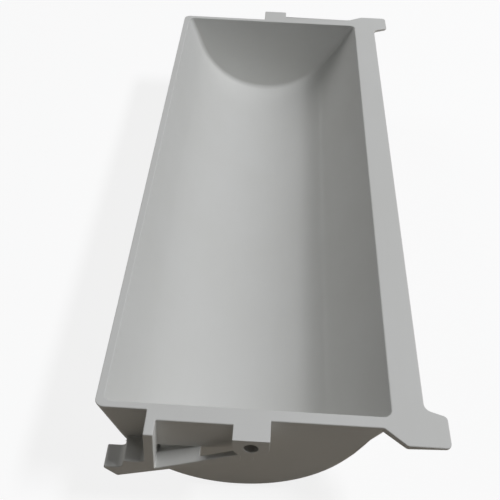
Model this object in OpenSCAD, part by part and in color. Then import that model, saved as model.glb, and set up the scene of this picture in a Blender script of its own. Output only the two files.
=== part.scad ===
// Moulded bucket for a swinging-bucket conveyor elevator: a round-bottomed trough
// with a wide overlap lip along one side, eared at both ends, a pivot boss on each
// end wall and a tipping arm on one end. The whole bucket is one moulding.
//
// +X points across the trough towards the lip, +Y along it away from the arm, +Z up.
// The origin is on the pivot axis, at the mouth of the bore on the arm end.
// Inside the modules, x = 0 is the middle of the trough's mouth, y = 0 the inner
// face of the arm-end wall and z = 0 the plane of the rim.

/* [Trough] */
// Inner width of the mouth
mouth_w = 120; // [110:1:150]
// Inner length of the mouth
mouth_l = 324; // [200:1:400]
// Inner depth below the rim
depth = 56; // [50:0.5:75]
// Flare of the side wall under the lip, in degrees from upright
lip_flare = 31.7; // [10:0.1:34]
// Flare of the side wall away from the lip, in degrees from upright
back_flare = 19.6; // [10:0.1:34]
// Wall of the trough's bottom and sides
wall_t = 3.5; // [2.8:0.1:4.5]
// Radius of the outer edge between the trough and its end walls
outer_edge_r = 3.6; // [2:0.1:5]
// Radius of the inner corner between the trough and its end walls
inner_edge_r = 3; // [1:0.1:4]

/* [End walls] */
// Thickness of the thin part of each end wall
thin_end_t = 3.1; // [2.5:0.1:4]
// Thickness of the stiffened part of each end wall
thick_end_t = 5.3; // [4.2:0.1:6.5]
// How far short of the mouth's lip side the stiffened part ends, at the rim
thick_stop = 3.6; // [2:0.1:5]
// Slope of the stiffened part's end on the lip side, in degrees from upright
thick_slope = 21.8; // [15:0.1:26]
// Thickness of an end wall at its rim pad
pad_t = 7.9; // [7:0.1:9]
// Height of the rim pad
pad_h = 20; // [16:0.5:22]

/* [Lip] */
// Width of the lip, from the edge of the mouth
lip_w = 13.8; // [8:0.1:20]
// Thickness of the lip at the edge of the mouth
lip_root_t = 3.2; // [2:0.1:4]
// Thickness of the lip's ears at their tips
lip_tip_t = 1.6; // [1:0.1:2.5]
// How far an ear stands out sideways beyond the lip
ear_side = 9.2; // [6:0.1:12]
// How far an ear stands out past the inner face of the end wall
ear_end = 12.9; // [12:0.1:18]
// Width of an ear's end edge
ear_edge_w = 17.8; // [15:0.1:22]
// How far short of the mouth's lip side an ear's slant leaves the end wall
ear_start = 3.8; // [2:0.1:6]
// Length of the ear's root along the lip
ear_root_l = 4.7; // [3:0.1:10]
// Fall of the ear's inner edge towards its tip
ear_slant = 3; // [0:0.1:4]
// Radius of the ear's outer corners
ear_r = 2.4; // [1:0.1:3]
// Radius of the hollow corner between the ear and the lip's edge
ear_neck_r = 4; // [1:0.5:4]

/* [Pivot bosses] */
// Width of a boss
boss_w = 15.3; // [12:0.1:18]
// How far a boss stands out from the inner face of its end wall
boss_reach = 15; // [12:0.1:20]
// Diameter of the pivot bore
bore_d = 6.2; // [5:0.1:8]
// Depth of the pivot bore
bore_depth = 11; // [8:0.1:11.5]
// Depth of the pivot axis below the rim
pivot_drop = 6; // [4.5:0.1:7]
// How far the pivot axis lies from the middle of the mouth, towards the lip
pivot_shift = 2.35; // [0:0.05:6]
// Width of the web under the arm-end boss
web_w = 2.8; // [2:0.1:5]
// Depth of that web below the boss
web_drop = 3.4; // [2:0.1:5]
// How far the web's front edge lies behind the boss's face
web_setback = 0.6; // [0.2:0.1:2]

/* [Tipping arm] */
// Width of the post between the rim and the arm
post_w = 4.2; // [3:0.1:6]
// Distance from the middle of the mouth to the post's near side, at the rim
post_x = 37.25; // [32:0.05:40]
// Lean of the post away from the boss, in degrees
post_lean = 2.6; // [0:0.1:4]
// Depth of the foot's top below the rim
foot_drop = 22.7; // [21:0.1:25]
// Distance from the middle of the mouth to the end of the foot's top
foot_x = 51.6; // [50:0.1:53]
// Distance from the middle of the mouth to the tip of the toe
toe_x = 60.6; // [58:0.1:64]
// Depth of the toe's top below the rim
toe_drop = 28.5; // [26:0.1:30]
// Height of the toe's tip
toe_tip_h = 1.6; // [1:0.1:3]
// How far the drop from the foot down to the toe leans out
toe_run = 1; // [0.5:0.1:2]
// Radius of the hollow corner between that drop and the toe
toe_hollow_r = 3; // [1:0.1:3.5]
// Width of the slant from the toe's tip down to the arm's underside
toe_chamfer = 5.2; // [3:0.1:6]
// Gap between the toe's back and the end wall
toe_gap = 1.1; // [0.5:0.1:3]
// Radius of the toe's corners
toe_r = 1; // [0.4:0.1:1.2]
// Slope of the arm's underside, in degrees
arm_slope = 20.2; // [18:0.1:22]
// Slope of the arm's top, in degrees
arm_top_slope = 24.5; // [23:0.1:26]
// Depth of the arm's top below the rim, at the post
arm_drop = 27.2; // [26:0.1:29]
// Thickness of the arm at the post, measured upright
arm_t = 2.5; // [2:0.1:4]
// Thickness of the rib between the arm and the boss
rib_t = 2.5; // [2:0.1:4]
// Distance from the middle of the mouth to the arm's inner end, where the rib starts
arm_inner_x = 19; // [17:0.1:21]
// How far short of the pivot axis the rib ends
rib_short = 4.2; // [2:0.1:6]
// Radius of the hollow corner between the post and the foot
foot_r = 2.5; // [1:0.1:3]

/* [Hidden] */
$fn = 96;
CORNER_STEPS = 6;
BOTTOM_STEPS = 36;
EDGE_STEPS = 4;
BOSS_STEPS = 24;
// Step between the thin and the stiffened outside of an end wall
STEP = 0.3;
// Extra length of a cutting body past what it cuts
MARGIN = 5;
// Depth to which one form reaches into the next
ROOT = 1.5;

// Radius of the round bottom that meets both flared sides smoothly, and its axis
bottom_r = (mouth_w - depth * (tan(lip_flare) + tan(back_flare))) / (reach(lip_flare) + reach(back_flare));
axis_x = mouth_w / 2 - bottom_r * reach(lip_flare) - depth * tan(lip_flare);
axis_z = bottom_r - depth;
outer_r = bottom_r + wall_t;
arm_end_y = -boss_reach;
toe_back_y = -(thin_end_t + toe_gap);
rib_end_x = pivot_shift - rib_short;
boss_r = boss_w / 2;
lip_edge = mouth_w / 2 + lip_w;
ear_tip = lip_edge + ear_side;
ear_start_x = mouth_w / 2 - ear_start;

// Place across the bucket of the post's near side, at height z
function post_side_x(z) = -post_x + z * tan(post_lean);

// Height of the arm's top and of its underside at a distance across the bucket
function arm_top_z(x) = -arm_drop + (x + post_x) * tan(arm_top_slope);
function arm_low_z(x) = -arm_drop - arm_t + (x + post_x) * tan(arm_slope);

// Reach across the bucket, per unit of radius, from the bottom's axis to a side of this flare
function reach(flare) = (1 - sin(flare)) / cos(flare);

// Height of the lip's underside at a distance across the bucket
function lip_low_z(x) =
    -lip_root_t + (x - mouth_w / 2) * (lip_root_t - lip_tip_t) / (ear_tip - mouth_w / 2);

// Point at height z on the straight part of a side, r from the bottom's axis.
// side is 1 towards the lip and -1 away from it
function side_at(side, flare, r, z) =
    let (rise = (z - axis_z + r * sin(flare)) / cos(flare))
    [axis_x + side * (r * cos(flare) + rise * sin(flare)), z];

// Section of the trough at radius r, up to height z, from the lip's side round to the other
function section(r, z) =
    let (sweep = 180 - lip_flare - back_flare)
    [
        side_at(1, lip_flare, r, z),
        for (i = [0 : BOTTOM_STEPS])
            let (a = lip_flare + sweep * i / BOTTOM_STEPS)
            [axis_x + r * cos(a), axis_z - r * sin(a)],
        side_at(-1, back_flare, r, z)
    ];

// Arc that rounds the corner p between a and b; p is [x, y, radius]
function corner_arc(a, p, b) =
    let (at = [p[0], p[1]])
    let (to_a = ([a[0], a[1]] - at) / norm([a[0], a[1]] - at))
    let (to_b = ([b[0], b[1]] - at) / norm([b[0], b[1]] - at))
    let (half = acos(to_a * to_b) / 2)
    let (centre = at + (to_a + to_b) / norm(to_a + to_b) * p[2] / sin(half))
    let (from = at + to_a * p[2] / tan(half) - centre)
    let (turn = (180 - 2 * half) * sign(to_b[0] * to_a[1] - to_b[1] * to_a[0]))
    let (start = atan2(from[1], from[0]))
    [for (i = [0 : CORNER_STEPS])
        centre + p[2] * [cos(start + turn * i / CORNER_STEPS), sin(start + turn * i / CORNER_STEPS)]];

// Outline with rounded corners, from points given as [x, y, radius]
function rounded(points) =
    let (n = len(points))
    [for (i = [0 : n - 1])
        each points[i][2] > 0
            ? corner_arc(points[(i + n - 1) % n], points[i], points[(i + 1) % n])
            : [[points[i][0], points[i][1]]]];

// Extrudes an outline drawn across the bucket, from y0 to y1
module along_y(y0, y1) {
    translate([0, y1, 0])
        rotate([90, 0, 0])
            linear_extrude(y1 - y0)
                children();
}

// Solid form of the trough at radius r, from y0 to y1 and up to height z,
// with its end edges rounded to edge_r
module trough_form(r, y0, y1, z, edge_r) {
    near = [for (i = [0 : EDGE_STEPS]) [cos(90 * i / EDGE_STEPS), sin(90 * i / EDGE_STEPS)]];
    rings = concat(
        [for (e = near) [r - edge_r * (1 - e[1]), y0 + edge_r * (1 - e[0])]],
        [for (i = [EDGE_STEPS : -1 : 0]) [r - edge_r * (1 - near[i][1]), y1 - edge_r * (1 - near[i][0])]]
    );
    points = [for (ring = rings) for (p = section(ring[0], z)) [p[0], ring[1], p[1]]];
    n = BOTTOM_STEPS + 3;
    last = len(rings) - 1;
    polyhedron(points, concat(
        [[for (i = [0 : n - 1]) i]],
        [[for (i = [n - 1 : -1 : 0]) last * n + i]],
        [for (k = [0 : last - 1]) for (i = [0 : n - 1])
            [k * n + i, (k + 1) * n + i, (k + 1) * n + (i + 1) % n, k * n + (i + 1) % n]]
    ));
}

// Outline of a stiffened part from x0 to its sloped end on the lip side, inset there by gap
module stiff_outline(x0, height, gap) {
    end_x = mouth_w / 2 - thick_stop - gap;
    polygon([[x0, 0], [end_x, 0], [end_x - height * tan(thick_slope), -height], [x0, -height]]);
}

// Outside of the trough and its end walls
module shell() {
    trough_form(outer_r, -thin_end_t, mouth_l + thin_end_t, 0, outer_edge_r);
    intersection() {
        trough_form(outer_r - STEP, -thick_end_t, mouth_l + thick_end_t, 0, outer_edge_r);
        union() {
            along_y(-pad_t, ROOT)
                stiff_outline(-post_x, depth + MARGIN, 0);
            along_y(mouth_l - ROOT, mouth_l + pad_t)
                stiff_outline(pivot_shift, depth + MARGIN, 0);
        }
    }
}

// Thickened band under the rim of each end wall
module rim_pads() {
    translate([-post_x - ROOT, -pad_t, -pad_h])
        cube([post_x + ROOT + pivot_shift, pad_t - ROOT, pad_h]);
    along_y(mouth_l + ROOT, mouth_l + pad_t)
        stiff_outline(pivot_shift, pad_h, STEP);
}

// Corners of one end of the lip and its ear, from an end wall root_t thick there;
// y counts out from the inner face of that wall, each corner given as [x, y, radius].
// The first lies inside the wall, in line with the slant
function ear_corners(root_t) =
    let (end_x = ear_tip - ear_edge_w)
    let (run = (end_x - ear_start_x) / (ear_end - root_t))
    [
        [ear_start_x - ROOT * run, root_t - ROOT, 0],
        [end_x, ear_end, ear_r],
        [ear_tip, ear_end, ear_r],
        [ear_tip, ear_slant - ear_root_l, ear_r],
        [lip_edge, -ear_root_l, ear_neck_r]
    ];

// Lip along one side, with an ear at each end, thinner towards its edge
module lip() {
    near = [for (p = ear_corners(thick_end_t)) [p[0], -p[1], p[2]]];
    ear = ear_corners(pad_t);
    far = [for (i = [len(ear) - 1 : -1 : 0]) [ear[i][0], mouth_l + ear[i][1], ear[i][2]]];
    outside_x = ear_tip + MARGIN;
    intersection() {
        translate([0, 0, -lip_root_t - MARGIN])
            linear_extrude(lip_root_t + MARGIN)
                polygon(rounded(concat(near, far)));
        along_y(-ear_end - MARGIN, mouth_l + ear_end + MARGIN)
            polygon([
                [0, lip_low_z(0)],
                [outside_x, lip_low_z(outside_x)],
                [outside_x, MARGIN],
                [0, MARGIN]
            ]);
    }
}

// Pivot boss standing out from an end wall at y0 to y1, flat on top
module boss(y0, y1) {
    round_end = [for (i = [0 : BOSS_STEPS])
        let (a = 180 * i / BOSS_STEPS)
        [pivot_shift + boss_r * cos(a), -pivot_drop - boss_r * sin(a)]];
    along_y(y0, y1)
        polygon(concat(
            [[pivot_shift + boss_r, 0]],
            round_end,
            [[pivot_shift - boss_r, 0]]
        ));
}

// Blind pivot bores, open at the outer face of each boss
module pivot_bores() {
    for (y = [-boss_reach - MARGIN, mouth_l + boss_reach - bore_depth])
        translate([pivot_shift, y, -pivot_drop])
            rotate([-90, 0, 0])
                cylinder(d = bore_d, h = bore_depth + MARGIN);
}

// Outline of the post, the foot, the toe and the arm with its rib
module arm_outline() {
    low_x = -toe_x + toe_chamfer;
    inner_x = post_side_x(-arm_drop);
    polygon(rounded([
        [post_side_x(0), 0, 0],
        [post_side_x(0) - post_w, 0, 0],
        [post_side_x(-foot_drop) - post_w, -foot_drop, foot_r],
        [-foot_x, -foot_drop, toe_r],
        [-foot_x - toe_run, -toe_drop, toe_hollow_r],
        [-toe_x, -toe_drop, toe_tip_h / 2],
        [-toe_x, -toe_drop - toe_tip_h, toe_tip_h / 2],
        [low_x, arm_low_z(low_x), toe_r],
        [rib_end_x, arm_low_z(rib_end_x), 0],
        [rib_end_x, arm_top_z(rib_end_x), 0],
        [inner_x, arm_top_z(inner_x), 0]
    ]));
}

// Everything the tipping arm may fill between two distances across, out from y = to_y
module arm_room(x0, x1, to_y) {
    translate([x0, arm_end_y - MARGIN, -depth - MARGIN])
        cube([x1 - x0, to_y - arm_end_y + MARGIN, depth + 2 * MARGIN]);
}

// Tipping arm. The toe stands clear of the end wall, and only a rib carries on from
// the arm's inner end to the boss, with a small web under the boss
module tipping_arm() {
    intersection() {
        along_y(arm_end_y, -ROOT)
            arm_outline();
        union() {
            arm_room(-toe_x - MARGIN, 0, arm_end_y + rib_t);
            arm_room(-toe_x - MARGIN, -arm_inner_x, toe_back_y);
            arm_room(-foot_x, -arm_inner_x, 0);
        }
    }
    translate([pivot_shift - web_w / 2, arm_end_y + web_setback, -pivot_drop - boss_r - web_drop])
        cube([web_w, boss_reach - web_setback - ROOT, boss_r + web_drop]);
}

module bucket() {
    color("gainsboro")
        translate([-pivot_shift, boss_reach, pivot_drop])
            difference() {
                union() {
                    shell();
                    rim_pads();
                    lip();
                    boss(arm_end_y, -ROOT);
                    boss(mouth_l + ROOT, mouth_l + boss_reach);
                    tipping_arm();
                }
                trough_form(bottom_r, 0, mouth_l, MARGIN, inner_edge_r);
                pivot_bores();
            }
}

bucket();
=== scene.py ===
"""Looks of the conveyor elevator bucket: the moulding with its soft edges, in matte plastic."""
from math import radians

import bmesh
import bpy
from mathutils import Matrix, Vector
from mathutils.geometry import intersect_point_line

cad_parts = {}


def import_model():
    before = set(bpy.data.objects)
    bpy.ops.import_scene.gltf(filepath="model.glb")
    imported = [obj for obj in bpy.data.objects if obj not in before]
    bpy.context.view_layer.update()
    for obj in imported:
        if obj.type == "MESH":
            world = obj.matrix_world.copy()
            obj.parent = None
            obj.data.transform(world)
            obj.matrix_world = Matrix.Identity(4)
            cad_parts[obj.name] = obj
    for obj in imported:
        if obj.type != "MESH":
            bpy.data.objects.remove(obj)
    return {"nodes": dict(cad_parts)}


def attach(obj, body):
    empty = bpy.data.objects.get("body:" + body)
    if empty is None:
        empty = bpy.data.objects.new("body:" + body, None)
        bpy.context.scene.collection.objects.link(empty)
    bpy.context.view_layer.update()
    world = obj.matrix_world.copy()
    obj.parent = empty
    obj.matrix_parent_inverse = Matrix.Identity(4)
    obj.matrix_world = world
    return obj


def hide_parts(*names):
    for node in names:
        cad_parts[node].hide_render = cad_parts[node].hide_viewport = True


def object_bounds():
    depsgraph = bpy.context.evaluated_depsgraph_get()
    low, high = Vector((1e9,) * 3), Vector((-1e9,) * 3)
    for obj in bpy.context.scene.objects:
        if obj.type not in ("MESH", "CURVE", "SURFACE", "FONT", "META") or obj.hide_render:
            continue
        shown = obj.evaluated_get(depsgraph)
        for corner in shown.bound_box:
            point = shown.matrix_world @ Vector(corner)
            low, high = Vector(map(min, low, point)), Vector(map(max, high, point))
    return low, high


MM = 0.001
WHITE = (1.0, 1.0, 1.0)

# Moulding
EDGE_ANGLE = radians(28)        # an edge sharper than this gets a soft corner
EDGE_RADIUS = 0.5 * MM
EDGE_SEGMENTS = 3
EDGE_ROOM = 0.45                # most of a face's width that one soft corner takes
BOSS_LOW = Vector((-8.5, -0.5, -11.2)) * MM     # box around the arm end's boss and its small web
BOSS_HIGH = Vector((8.5, 14.0, 6.5)) * MM
BOSS_SHARE = 0.35               # of the full radius, as the web stands close behind the boss's face
FLAT_ANGLE = radians(0.05)      # triangles this close to flat join into one face
WELD = 0.002 * MM

# Plastic, in linear colour
PLASTIC = (0.640, 0.643, 0.626)
PLASTIC_WARM = (0.612, 0.612, 0.588)
PLASTIC_ROUGH = 0.59            # where the surface is smoothest
ROUGH_SPREAD = 0.06             # that the clouds add, and the grain again
PLASTIC_IOR = 1.46
PLASTIC_GLOSS = 0.22
CLOUD_SCALE = 22.0
CLOUD_WARMTH = 0.5
FLOW_STRETCH = (60.0, 6.0, 60.0)    # long streaks, along the bucket
FLOW_SCALE = 3.0
FLOW_WARMTH = 0.4
GRAIN_SCALE = 2600.0
GRAIN_STRENGTH = 0.12
GRAIN_DEPTH = 0.02 * MM
RIPPLE_SCALE = 45.0
RIPPLE_STRENGTH = 0.2
RIPPLE_DEPTH = 0.25 * MM

# Floor
FLOOR = (0.39, 0.342, 0.280)
FLOOR_DARK = (0.37, 0.325, 0.266)
FLOOR_ROUGH = 0.9
FLOOR_GRAIN = 30.0
FLOOR_WHITE = 0.85              # share of the floor's white that no shadow takes away
FLOOR_SIZE = 8.0

# Light
KEY_FROM = Vector((0.56, 0.01, 0.83))
KEY_AWAY = 2.3
KEY_SHIFT = Vector((0.0, -0.06, 0.0))
KEY_SIZE = (0.82, 0.31)         # along the bucket, then across
KEY_TINT = (0.98, 0.99, 1.02)
KEY_POWER = 38.0
FILL_FROM = Vector((-0.68, 0.53, 0.45))
FILL_AWAY = 3.0
FILL_SIZE = (1.8, 1.8)
FILL_TINT = (1.0, 1.0, 1.0)
FILL_POWER = 18.0
SKY = (1.0, 0.98, 0.95)
SKY_STRENGTH = 0.03
SEEING_RAYS = ("Is Camera Ray", "Is Glossy Ray", "Is Transmission Ray")

# Camera
LENS = 51.96
SENSOR = 36.0
NEAREST = 0.01                  # anything closer to the camera is left out
CAMERA_PLACE = Vector((0.57, -146.39, 266.26)) * MM
CAMERA_RIGHT = Vector((0.9983, 0.0527, 0.0256))
CAMERA_UP = Vector((-0.0556, 0.7153, 0.6966))
CAMERA_BACK = Vector((0.0184, -0.6968, 0.7170))


# ---------------------------------------------------------------- shader maths

class Socket:
    """A shader value. + and * on it add Math nodes."""

    def __init__(self, tree, out):
        self.tree = tree
        self.out = out

    def _math(self, operation, first, second):
        node = self.tree.nodes.new("ShaderNodeMath")
        node.operation = operation
        for socket, value in zip(node.inputs, (first, second)):
            link_or_set(self.tree, socket, value)
        return Socket(self.tree, node.outputs[0])

    def __add__(self, other):
        return self._math("ADD", self, other)

    def __radd__(self, other):
        return self._math("ADD", other, self)

    def __mul__(self, other):
        return self._math("MULTIPLY", self, other)

    def __rmul__(self, other):
        return self._math("MULTIPLY", other, self)


def link_or_set(tree, socket, value):
    """Links a shader value to a socket, or sets a plain number or colour on it."""
    if isinstance(value, Socket):
        tree.links.new(value.out, socket)
    elif hasattr(value, "__len__") and len(value) == 3 and len(socket.default_value) == 4:
        socket.default_value = (*value, 1.0)
    else:
        socket.default_value = value


class Tree:
    """A node tree, ready for its nodes."""

    def __init__(self, owner):
        owner.use_nodes = True
        self.tree = owner.node_tree

    def node(self, kind, settings=None, output=0, **sockets):
        """Adds a node: settings first, then its sockets' values or links, by name or as i6 by number."""
        made = self.tree.nodes.new(kind)
        for key, value in (settings or {}).items():
            if key == "stops":
                self._set_stops(made.color_ramp, value)
            else:
                setattr(made, key, value)
        for key, value in sockets.items():
            index = int(key[1:]) if key[0] == "i" and key[1:].isdigit() else key.replace("_", " ")
            link_or_set(self.tree, made.inputs[index], value)
        return Socket(self.tree, made.outputs[output])

    def _set_stops(self, ramp, stops):
        """Gives a new ramp's two stops their places and greys."""
        for stop, (place, value) in zip(ramp.elements, stops):
            stop.position = place
            stop.color = (value, value, value, 1.0)

    def seeing_rays(self):
        """1 for the camera's own rays and for those that gloss or glass sends on, else 0."""
        camera, gloss, glass = (self.node("ShaderNodeLightPath", output=name) for name in SEEING_RAYS)
        return self.node("ShaderNodeClamp", Value=camera + gloss + glass)

    def shown(self, output, shader):
        """Sends a shader to the tree's output."""
        self.tree.links.new(shader.out, self.tree.nodes[output].inputs["Surface"])


class Shader(Tree):
    """A material and its node tree."""

    def __init__(self, name):
        self.material = bpy.data.materials.new(name)
        super().__init__(self.material)
        self.surface = self.tree.nodes["Principled BSDF"]

    def object_place(self):
        return self.node("ShaderNodeTexCoord", output=3)

    def stretched(self, place, scale):
        return self.node("ShaderNodeMapping", Vector=place, Scale=scale)

    def noise(self, place, scale, detail=2.0, roughness=0.5):
        return self.node("ShaderNodeTexNoise", Vector=place, Scale=scale, Detail=detail,
                         Roughness=roughness)

    def ramp(self, value, *stops):
        return self.node("ShaderNodeValToRGB", {"stops": stops}, Fac=value)

    def mix(self, factor, first, second):
        return self.node("ShaderNodeMix", {"data_type": "RGBA"}, output=2,
                         i0=factor, i6=first, i7=second)

    def bump(self, height, strength, distance, normal=None):
        links = {"Height": height, "Strength": strength, "Distance": distance}
        if normal is not None:
            links["Normal"] = normal
        return self.node("ShaderNodeBump", **links)

    def set(self, **sockets):
        for key, value in sockets.items():
            link_or_set(self.tree, self.surface.inputs[key.replace("_", " ")], value)

    def plain(self):
        return Socket(self.tree, self.surface.outputs[0])


# ---------------------------------------------------------------- materials

def moulded_plastic():
    """Pale warm grey plastic off a fine-sparked mould: soft clouds, faint flow lines, fine grain."""
    made = Shader("matte_moulded_plastic")
    place = made.object_place()
    clouds = made.ramp(made.noise(place, CLOUD_SCALE, 3.0), (0.3, 0.0), (0.7, 1.0))
    flow = made.noise(made.stretched(place, FLOW_STRETCH), FLOW_SCALE, 4.0, 0.6)
    grain = made.noise(place, GRAIN_SCALE, 2.0, 0.6)
    ripple = made.bump(made.noise(place, RIPPLE_SCALE), RIPPLE_STRENGTH, RIPPLE_DEPTH)
    warmth = clouds * CLOUD_WARMTH + flow * FLOW_WARMTH
    made.set(
        Base_Color=made.mix(warmth, PLASTIC, PLASTIC_WARM),
        Roughness=PLASTIC_ROUGH + clouds * ROUGH_SPREAD + grain * ROUGH_SPREAD,
        IOR=PLASTIC_IOR,
        Specular_IOR_Level=PLASTIC_GLOSS,
        Normal=made.bump(grain, GRAIN_STRENGTH, GRAIN_DEPTH, ripple),
    )
    return made.material


def plain_floor():
    """Pale floor, which the camera sees as white with a faint shadow on it."""
    made = Shader("pale_floor")
    grain = made.noise(made.object_place(), FLOOR_GRAIN)
    made.set(Base_Color=made.mix(grain, FLOOR, FLOOR_DARK), Roughness=FLOOR_ROUGH)
    shaded = made.node("ShaderNodeBsdfDiffuse", Color=WHITE)
    white = made.node("ShaderNodeEmission", Color=WHITE, Strength=1.0)
    seen = made.node("ShaderNodeMixShader", i0=FLOOR_WHITE, i1=shaded, i2=white)
    made.shown("Material Output", made.node("ShaderNodeMixShader", i0=made.seeing_rays(),
                                            i1=made.plain(), i2=seen))
    return made.material


# ---------------------------------------------------------------- pieces

def only(piece):
    """Makes this the one selected and active object."""
    bpy.ops.object.select_all(action="DESELECT")
    piece.select_set(True)
    bpy.context.view_layer.objects.active = piece


def copy_of(node, name):
    """A mesh of its own, copied from a CAD node and welded where its triangles meet."""
    piece = bpy.data.objects.new(name, node.data.copy())
    bpy.context.scene.collection.objects.link(piece)
    piece.data.materials.clear()
    only(piece)
    bpy.ops.object.mode_set(mode="EDIT")
    bpy.ops.mesh.select_all(action="SELECT")
    bpy.ops.mesh.remove_doubles(threshold=WELD)
    bpy.ops.mesh.customdata_custom_splitnormals_clear()
    bpy.ops.mesh.dissolve_limited(angle_limit=FLAT_ANGLE)
    bpy.ops.object.mode_set(mode="OBJECT")
    return piece


def room_beside(edge):
    """Width of the narrower of the two faces along an edge."""
    start, end = (corner.co for corner in edge.verts)
    return min(max((corner.co - intersect_point_line(corner.co, start, end)[0]).length
                   for corner in face.verts) for face in edge.link_faces)


def on_boss(edge):
    """True for an edge of the arm end's boss or of the small web under it."""
    return all(low < value < high for corner in edge.verts
               for low, value, high in zip(BOSS_LOW, corner.co, BOSS_HIGH))


def weigh_sharp_edges(piece):
    """Gives each sharp edge its share of the full radius, less where there is less room."""
    form = bmesh.new()
    form.from_mesh(piece.data)
    share = form.edges.layers.float.new("bevel_weight_edge")
    for edge in form.edges:
        if edge.calc_face_angle() > EDGE_ANGLE:
            room = EDGE_ROOM * room_beside(edge) / EDGE_RADIUS
            edge[share] = min(BOSS_SHARE if on_boss(edge) else 1.0, room)
    form.to_mesh(piece.data)
    form.free()


def soften_edges(piece):
    """Rounds the moulding's sharp edges, as the mould leaves them."""
    weigh_sharp_edges(piece)
    only(piece)
    bevel = piece.modifiers.new("soft_edges", "BEVEL")
    bevel.width = EDGE_RADIUS
    bevel.segments = EDGE_SEGMENTS
    bevel.limit_method = "WEIGHT"
    bevel.use_clamp_overlap = False
    bevel.harden_normals = True
    bevel.miter_outer = "MITER_ARC"
    bpy.ops.object.shade_smooth()
    bpy.ops.object.modifier_apply(modifier=bevel.name)


def moulding(cad):
    """The bucket itself, in place of the CAD node."""
    piece = copy_of(cad, "bucket_moulding")
    soften_edges(piece)
    piece.data.materials.append(moulded_plastic())
    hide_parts("bucket")
    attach(piece, "root")


# ---------------------------------------------------------------- stage

def floor(low):
    """A wide flat floor at the bucket's lowest point."""
    bpy.ops.object.select_all(action="DESELECT")
    bpy.ops.mesh.primitive_plane_add(size=FLOOR_SIZE, location=(0.0, 0.0, low))
    ground = bpy.context.object
    ground.name = "floor"
    bpy.ops.object.transform_apply(location=True)
    ground.data.materials.append(plain_floor())


def camera():
    """Looks down into the mouth from the arm end."""
    data = bpy.data.cameras.new("camera")
    data.lens = LENS
    data.sensor_width = SENSOR
    data.clip_start = NEAREST
    made = bpy.data.objects.new("camera", data)
    bpy.context.scene.collection.objects.link(made)
    turn = Matrix((CAMERA_RIGHT, CAMERA_UP, CAMERA_BACK)).transposed()
    made.matrix_world = Matrix.Translation(CAMERA_PLACE) @ turn.to_4x4()
    bpy.context.scene.camera = made


def soft_lamp(name, aim, toward, away, size, tint, power):
    """An oval lamp that looks at a place from a direction and a distance."""
    data = bpy.data.lights.new(name, "AREA")
    data.shape = "ELLIPSE"
    data.size, data.size_y = size
    data.color = tint
    data.energy = power
    lamp = bpy.data.objects.new(name, data)
    bpy.context.scene.collection.objects.link(lamp)
    lamp.location = aim + toward.normalized() * away
    lamp.rotation_euler = toward.to_track_quat("Z", "Y").to_euler()


def world():
    """Faint even sky light. The camera and the gloss see a white backdrop in its place."""
    studio = bpy.data.worlds.new("studio")
    bpy.context.scene.world = studio
    made = Tree(studio)
    sky = made.node("ShaderNodeBackground", Color=SKY, Strength=SKY_STRENGTH)
    backdrop = made.node("ShaderNodeBackground", Color=WHITE, Strength=1.0)
    made.shown("World Output", made.node("ShaderNodeMixShader", i0=made.seeing_rays(),
                                         i1=sky, i2=backdrop))


def lights(middle):
    """Key from the lip's side, fill from behind the other side, and the sky."""
    soft_lamp("key", middle + KEY_SHIFT, KEY_FROM, KEY_AWAY, KEY_SIZE, KEY_TINT, KEY_POWER)
    soft_lamp("fill", middle, FILL_FROM, FILL_AWAY, FILL_SIZE, FILL_TINT, FILL_POWER)
    world()


# ---------------------------------------------------------------- scene

def main():
    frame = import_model()
    cad_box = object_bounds()
    low, high = (Vector(corner) for corner in cad_box)
    bpy.context.scene.view_settings.view_transform = "Standard"
    camera()
    moulding(frame["nodes"]["bucket"])
    floor(low.z)
    lights((low + high) / 2)


main()
